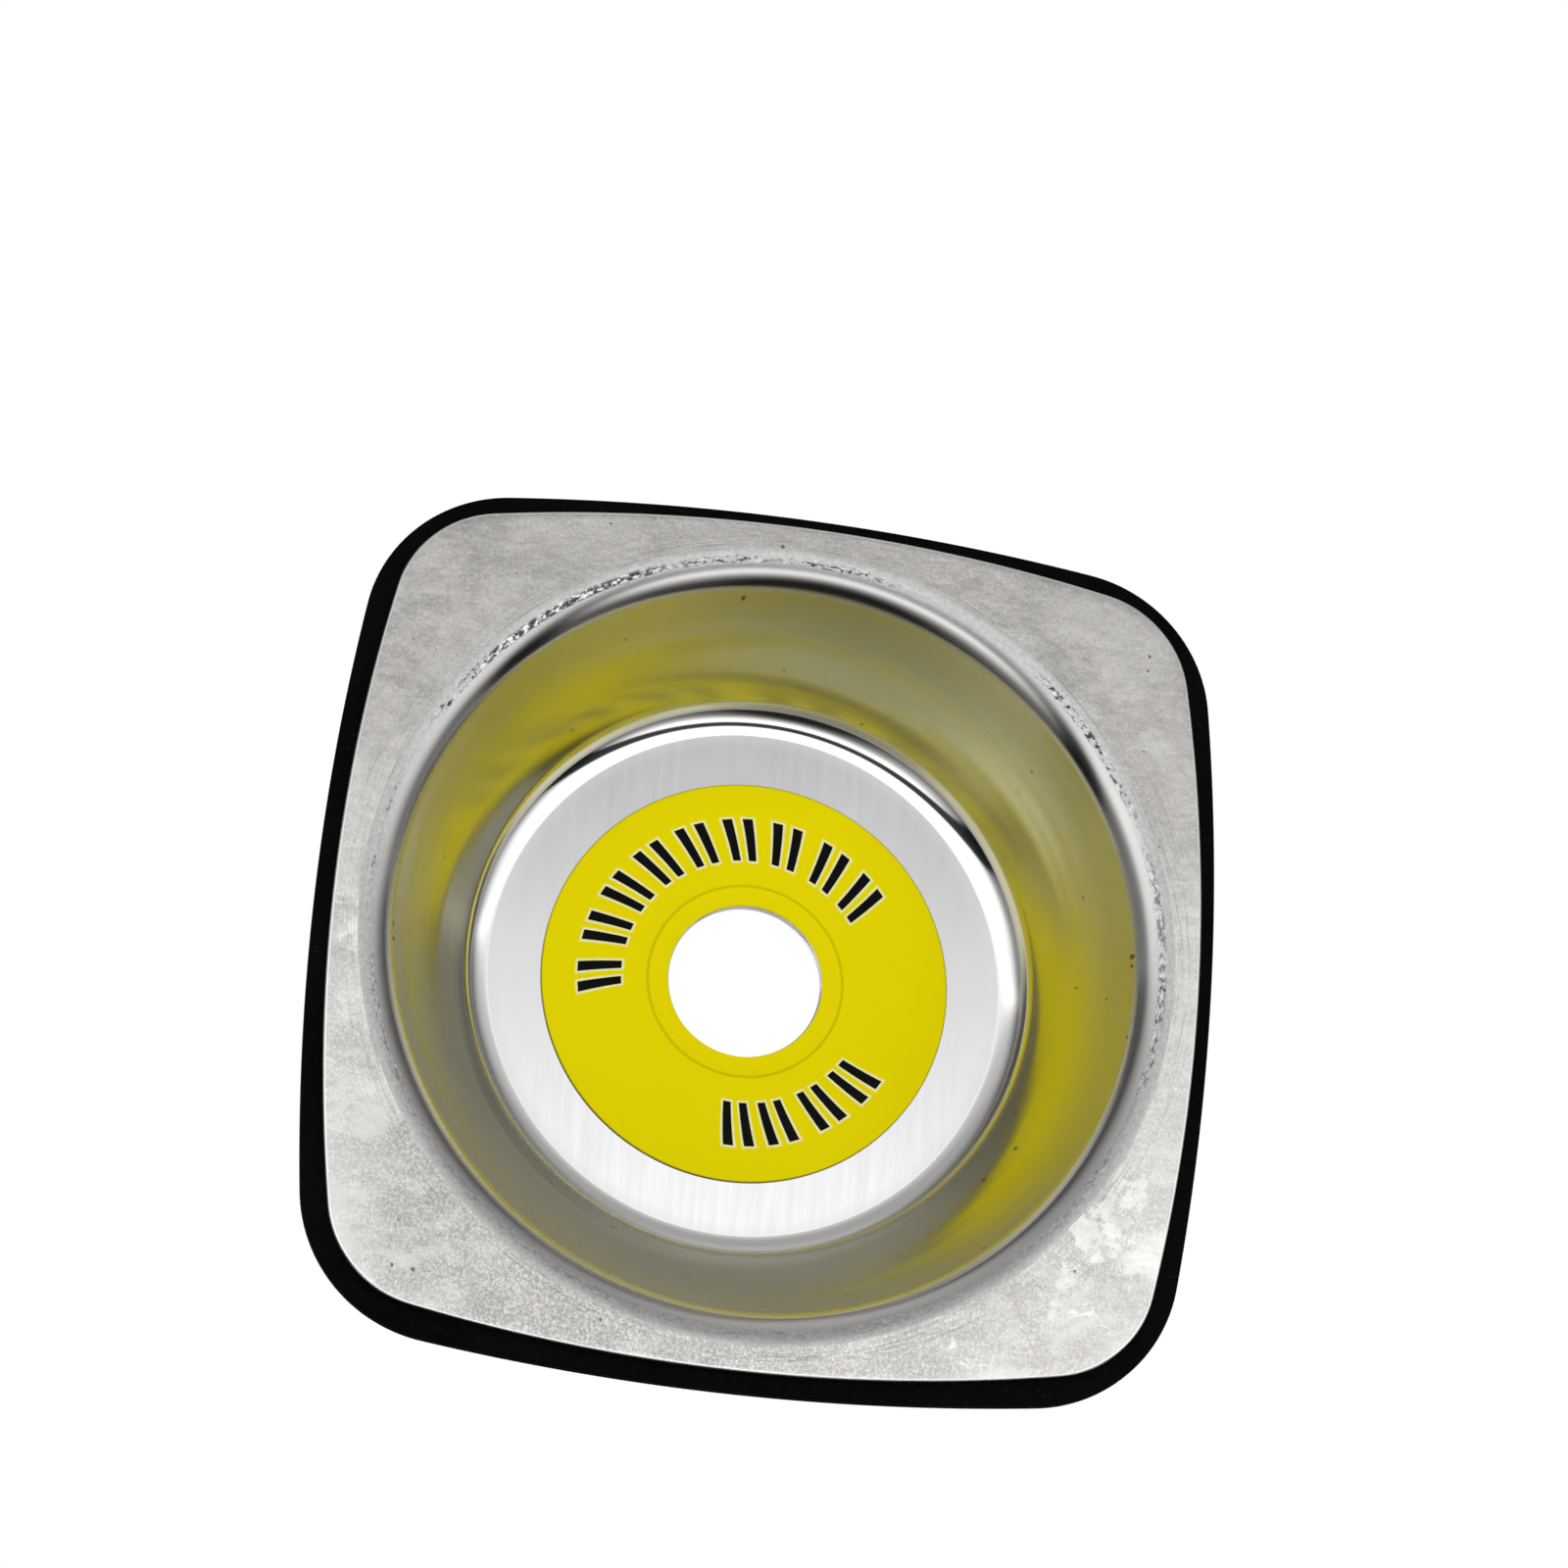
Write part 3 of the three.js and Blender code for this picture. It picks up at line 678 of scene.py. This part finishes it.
# ------------------------------------------------------------------ the legend and its marks
GROOVE = [(14.0, 0.0), (14.13, 0.015), (14.26, 0.045), (14.4, 0.06), (14.54, 0.045), (14.67, 0.015), (14.8, 0.0)]  # pressed by a button's collar
legend = turned("legend_plate", soft_ring(LEGEND_HOLE, LEGEND_R, Y_LEGEND, Y_FLOOR - 0.1, 0.08, 3) + [(r, Y_LEGEND + y) for r, y in GROOVE], 256)
legend.data.materials.append(M_LEGEND)
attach(legend, "root")
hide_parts("legend_disc")

film_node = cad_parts["legend_adhesive"]
film_node.data.materials.clear()
film_node.data.materials.append(M_FILM)


def sector_bars(name, slots, grow, lift, thick, mat):
    """Slanted bars, in pairs, along arcs of the legend. Each bar is a small raised slab."""
    verts, faces = [], []
    for centre in slots:
        for side in (-1, 1):
            a_mid = centre + side * 3.6
            half_w, r0, r1, slant = 1.75, 18.3, 24.7, 2.6
            n = 8
            base = len(verts)
            ring = []
            g_a = grow / 21.5 * 180 / math.pi
            for i in range(n + 1):  # inner end to outer end along one side, then back along the other
                r = (r0 - grow) + (r1 - r0 + 2 * grow) * i / n
                a = a_mid - half_w - g_a + slant * ((r - r0) / (r1 - r0) - 0.5)
                ring.append((r, a))
            for i in range(n, -1, -1):
                r = (r0 - grow) + (r1 - r0 + 2 * grow) * i / n
                a = a_mid + half_w + g_a + slant * ((r - r0) / (r1 - r0) - 0.5)
                ring.append((r, a))
            for y in (Y_LEGEND - lift, Y_LEGEND - lift + thick):
                for r, a in ring:
                    t = math.radians(a)
                    verts.append((r * math.cos(t) * MM, y * MM, r * math.sin(t) * MM))
            k = len(ring)
            faces.append(tuple(range(base, base + k)))
            faces.append(tuple(range(base + 2 * k - 1, base + k - 1, -1)))
            for i in range(k):
                j = (i + 1) % k
                faces.append((base + i, base + j, base + k + j, base + k + i))
    ob = mesh_object(name, verts, faces, smooth=False)
    fix_normals(ob)
    ob.data.materials.append(mat)
    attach(ob, "root")
    return ob


# Angles of the marks about the legend's centre, anticlockwise from +x seen from the front.
LONG = [-175.8, 165.6, 148.4, 130.9, 113.6, 96.3, 78.4, 59.6, 42.4]
SHORT = [-88.8, -73.1, -54.5, -37.4]
sector_bars("legend_mark_lines", LONG + SHORT, 0.35, 0.012, 0.02, M_LINE)
sector_bars("legend_marks", LONG + SHORT, 0.0, 0.024, 0.02, M_INK)


# ------------------------------------------------------------------ studs, washers and nuts
def thread_stud(name, at):
    """A rolled M4 thread: the radius follows the helix, the foot is a plain flange."""
    seg, pitch, depth = 48, 0.7, 0.40
    y0, y1 = Y_BACK, Y_BACK + 12.0
    rows = [(2.75, y0, 0), (2.75, y0 + 0.5, 0), (2.65, y0 + 0.7, 0), (2.05, y0 + 0.72, 0)]
    step = pitch / 12
    y = y0 + 0.8
    while y < y1 - 0.02:
        rows.append((None, y, 1))
        y += step
    rows.append((None, y1, 1))
    verts = [(0.0, y0, 0.0)]
    for r, y, kind in rows:
        for j in range(seg):
            a = 2 * math.pi * j / seg
            if kind:
                t = (y / pitch - a / (2 * math.pi)) % 1.0
                tri = abs(2 * t - 1)  # 1 at the root, 0 at the crest
                cut = min(max((tri - 0.10) / 0.78, 0.0), 1.0)
                rr = 1.98 - depth * cut
                rr = min(rr, 1.45 + (y1 - y) * 1.0)  # chamfered tip
                rr = min(rr, 1.62 + max(0.0, (y - y0 - 0.8)) * 1.2)  # run-out at the foot
            else:
                rr = r
            verts.append((rr * math.cos(a), y, rr * math.sin(a)))
    verts.append((0.0, y1, 0.0))
    last = len(verts) - 1
    faces = []
    n = len(rows)
    for i in range(n - 1):
        for j in range(seg):
            k = (j + 1) % seg
            a, b = 1 + i * seg, 1 + (i + 1) * seg
            faces.append((a + j, a + k, b + k, b + j))
    for j in range(seg):
        k = (j + 1) % seg
        faces.append((0, 1 + k, 1 + j))
        faces.append((last, 1 + (n - 1) * seg + j, 1 + (n - 1) * seg + k))
    verts = [((x + at[0]) * MM, y * MM, (z + at[2]) * MM) for x, y, z in verts]
    ob = mesh_object(name, verts, faces)
    fix_normals(ob)
    ob.data.set_sharp_from_angle(angle=math.radians(50))
    return ob


def hex_nut(name, at, y0, turn):
    """Hexagon with both ends chamfered, and a countersunk threaded hole."""
    seg, af, h = 192, 7.0, 3.2
    ang = 2 * math.pi * np.arange(seg) / seg
    t = (ang + math.pi / 6) % (math.pi / 3) - math.pi / 6
    hexr = af / 2 / np.cos(t)
    slope = math.tan(math.radians(60))
    ys, rs = [], []
    face = af / 2 * 0.93
    offs = [0.0, 0.06, 0.14, 0.24, 0.36, 0.50]
    sec = []
    for o in offs:
        sec.append((np.minimum(hexr - 0.0, face + o * slope), y0 + o))
    sec.append((hexr, y0 + h / 2))
    for o in offs[::-1]:
        sec.append((np.minimum(hexr - 0.0, face + o * slope), y0 + h - o))
    # inside: countersink, thread as rings, countersink
    inner = [(2.35, y0 + h), (2.1, y0 + h - 0.25)]
    y = y0 + h - 0.45
    while y > y0 + 0.45:
        inner.append((2.34, y))
        inner.append((2.08, y - 0.35 / 2))
        y -= 0.35
    inner += [(2.1, y0 + 0.25), (2.35, y0)]
    for r, yy in inner:
        sec.append((np.full(seg, r), yy))
    verts = []
    for r, yy in sec:
        x, z = r * np.cos(ang + turn), r * np.sin(ang + turn)
        verts.append(np.stack([x + at[0], np.full(seg, yy), z + at[2]], 1))
    ob = mesh_object(name, np.concatenate(verts) * MM, grid_faces(len(sec), seg, True))
    fix_normals(ob)
    ob.data.set_sharp_from_angle(angle=math.radians(25))
    return ob


def lock_washer(name, at, y0, turn):
    """A split ring, its two ends pressed nearly flat and a little apart."""
    n, inner, outer, th, slit = 72, 2.15, 3.8, 0.9, 0.9
    e = 0.10
    half = math.asin(slit / 2 / ((inner + outer) / 2))
    sec = [(inner + e, 0.0), (outer - e, 0.0), (outer, e), (outer, th - e), (outer - e, th), (inner + e, th), (inner, th - e), (inner, e)]
    verts, k = [], len(sec)
    for i in range(n + 1):
        a = half + (2 * math.pi - 2 * half) * i / n
        for r, y in sec:
            verts.append(((r * math.cos(a + turn) + at[0]) * MM, (y0 + y) * MM, (r * math.sin(a + turn) + at[2]) * MM))
    faces = []
    for i in range(n):
        for j in range(k):
            q = (j + 1) % k
            faces.append((i * k + j, i * k + q, (i + 1) * k + q, (i + 1) * k + j))
    faces.append(tuple(range(k)))
    faces.append(tuple(range(n * k + k - 1, n * k - 1, -1)))
    ob = mesh_object(name, verts, faces)
    fix_normals(ob)
    ob.data.set_sharp_from_angle(angle=math.radians(30))
    return ob


for i, (corner, sx, sz) in enumerate(CORNERS):
    at = (sx * STUD, 0.0, sz * STUD)
    ob = thread_stud("stud_" + corner, at)
    ob.data.materials.append(M_STUD)
    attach(ob, "root")
    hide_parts("weld_stud_" + corner)
    ob = turned("washer_" + corner, soft_ring(2.15, 4.5, 0.1, 0.9, 0.12, 3), 96, at=at)
    ob.data.materials.append(M_ZINC)
    ob.data.set_sharp_from_angle(angle=math.radians(35))
    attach(ob, "washers_" + corner)
    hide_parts("flat_washer_" + corner)
    ob = lock_washer("spring_washer_" + corner, at, 0.9, -(0.7 + 1.9 * i))
    ob.data.materials.append(M_ZINC)
    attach(ob, "washers_" + corner)
    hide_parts("lock_washer_" + corner)
    ob = hex_nut("nut_" + corner, at, 1.8, -(0.2 + 0.31 * i))
    ob.data.materials.append(M_ZINC)
    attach(ob, "nut_" + corner)
    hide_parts("hex_nut_" + corner)

# ------------------------------------------------------------------ studio
floor = mesh_object("studio_floor", [(-6, -6, -0.32), (6, -6, -0.32), (6, 6, -0.32), (-6, 6, -0.32)], [(0, 1, 2, 3)], smooth=False)
fm = Nodes("studio_floor")
fm.set(Base_Color=fm.ramp(fm.noise(3.0, 2.0, 0.5), [(0.3, (0.86, 0.86, 0.86)), (0.7, (0.88, 0.88, 0.88))]), Roughness=0.8)
floor.data.materials.append(fm.mat)
floor.visible_glossy = False  # the steel sees the studio past it



def soft_light(name, where, size, energy):
    data = bpy.data.lights.new(name, "AREA")
    data.shape = "DISK"
    data.size = size
    data.energy = energy
    ob = bpy.data.objects.new(name, data)
    bpy.context.scene.collection.objects.link(ob)
    ob.location = where
    ob.rotation_euler = (Vector((0, 0, 0)) - Vector(where)).to_track_quat("-Z", "Y").to_euler()
    ob.visible_glossy = False
    return ob


soft_light("key", (-0.35, -1.1, 0.75), 0.9, 5.4)
soft_light("fill", (0.9, -0.9, 0.25), 0.9, 2.0)

world = bpy.data.worlds.new("studio")
bpy.context.scene.world = world
world.use_nodes = True
wt = world.node_tree
wt.nodes.clear()
w_out = wt.nodes.new("ShaderNodeOutputWorld")
w_bg = wt.nodes.new("ShaderNodeBackground")
w_cam = wt.nodes.new("ShaderNodeBackground")
w_mix = wt.nodes.new("ShaderNodeMixShader")
w_path = wt.nodes.new("ShaderNodeLightPath")
w_tc = wt.nodes.new("ShaderNodeTexCoord")
w_sep = wt.nodes.new("ShaderNodeSeparateXYZ")
w_ramp = wt.nodes.new("ShaderNodeValToRGB")
w_map = wt.nodes.new("ShaderNodeMapRange")
wt.links.new(w_tc.outputs["Generated"], w_sep.inputs[0])
wt.links.new(w_sep.outputs[2], w_map.inputs["Value"])
w_map.inputs["From Min"].default_value = -1.0
w_map.inputs["From Max"].default_value = 1.0
wt.links.new(w_map.outputs[0], w_ramp.inputs[0])
# brightness by height above the horizon, in degrees: a bright wall in front, a dark table edge, a dark floor below
stops = [(-90, 0.02), (-67, 0.02), (-61, 0.20), (-54, 0.62), (-47, 1.2), (-42, 1.55), (-35, 1.5), (-33, 0.05), (-20, 0.05), (-18, 1.4), (-14, 1.6), (-4, 1.6), (3, 1.35),
         (9, 1.35), (12.3, 1.85), (13.8, 1.50), (15.1, 1.00), (17.4, 0.75), (19, 0.66), (24, 0.59), (32, 0.445), (52, 0.43), (62, 0.52), (74, 0.55), (90, 0.52)]
cr = w_ramp.color_ramp
while len(cr.elements) > 1:
    cr.elements.remove(cr.elements[0])
for i, (deg, v) in enumerate(stops):
    p = (math.sin(math.radians(deg)) + 1) / 2
    e = cr.elements[0] if i == 0 else cr.elements.new(p)
    e.position = p
    e.color = (v / 2, v / 2, v / 2, 1)


def w_math(op, x, y=None, lo=None):
    nd = wt.nodes.new("ShaderNodeMath")
    nd.operation = op
    for i, v in enumerate((x, y)):
        if v is None:
            continue
        if isinstance(v, bpy.types.NodeSocket):
            wt.links.new(v, nd.inputs[i])
        else:
            nd.inputs[i].default_value = v
    return nd.outputs[0]


# darker towards the sides: the share of the level direction that points out of the front or the back
flat = w_math("SQRT", w_math("ADD", w_math("MULTIPLY", w_sep.outputs[0], w_sep.outputs[0]), w_math("MULTIPLY", w_sep.outputs[1], w_sep.outputs[1])))
ahead = w_math("ABSOLUTE", w_math("DIVIDE", w_math("MULTIPLY", w_sep.outputs[1], -1.0), w_math("MAXIMUM", flat, 0.001)))
side = wt.nodes.new("ShaderNodeMapRange")
wt.links.new(ahead, side.inputs["Value"])
for k, v in (("From Min", 0.25), ("From Max", 0.90), ("To Max", 2.0)):
    side.inputs[k].default_value = v
side.interpolation_type = "SMOOTHSTEP"
side_low = wt.nodes.new("ShaderNodeMapRange")
wt.links.new(w_sep.outputs[2], side_low.inputs["Value"])
for k, v in (("From Min", -0.60), ("From Max", 0.0), ("To Min", 0.24), ("To Max", 0.46)):
    side_low.inputs[k].default_value = v
wt.links.new(side_low.outputs["Result"], side.inputs["To Min"])
wt.links.new(w_ramp.outputs[0], w_bg.inputs["Color"])
wt.links.new(side.outputs["Result"], w_bg.inputs["Strength"])
w_cam.inputs["Color"].default_value = (1, 1, 1, 1)
w_cam.inputs["Strength"].default_value = 1.0
wt.links.new(w_path.outputs["Is Camera Ray"], w_mix.inputs[0])
wt.links.new(w_bg.outputs[0], w_mix.inputs[1])
wt.links.new(w_cam.outputs[0], w_mix.inputs[2])
wt.links.new(w_mix.outputs[0], w_out.inputs[0])
bpy.context.scene.view_settings.view_transform = "Standard"
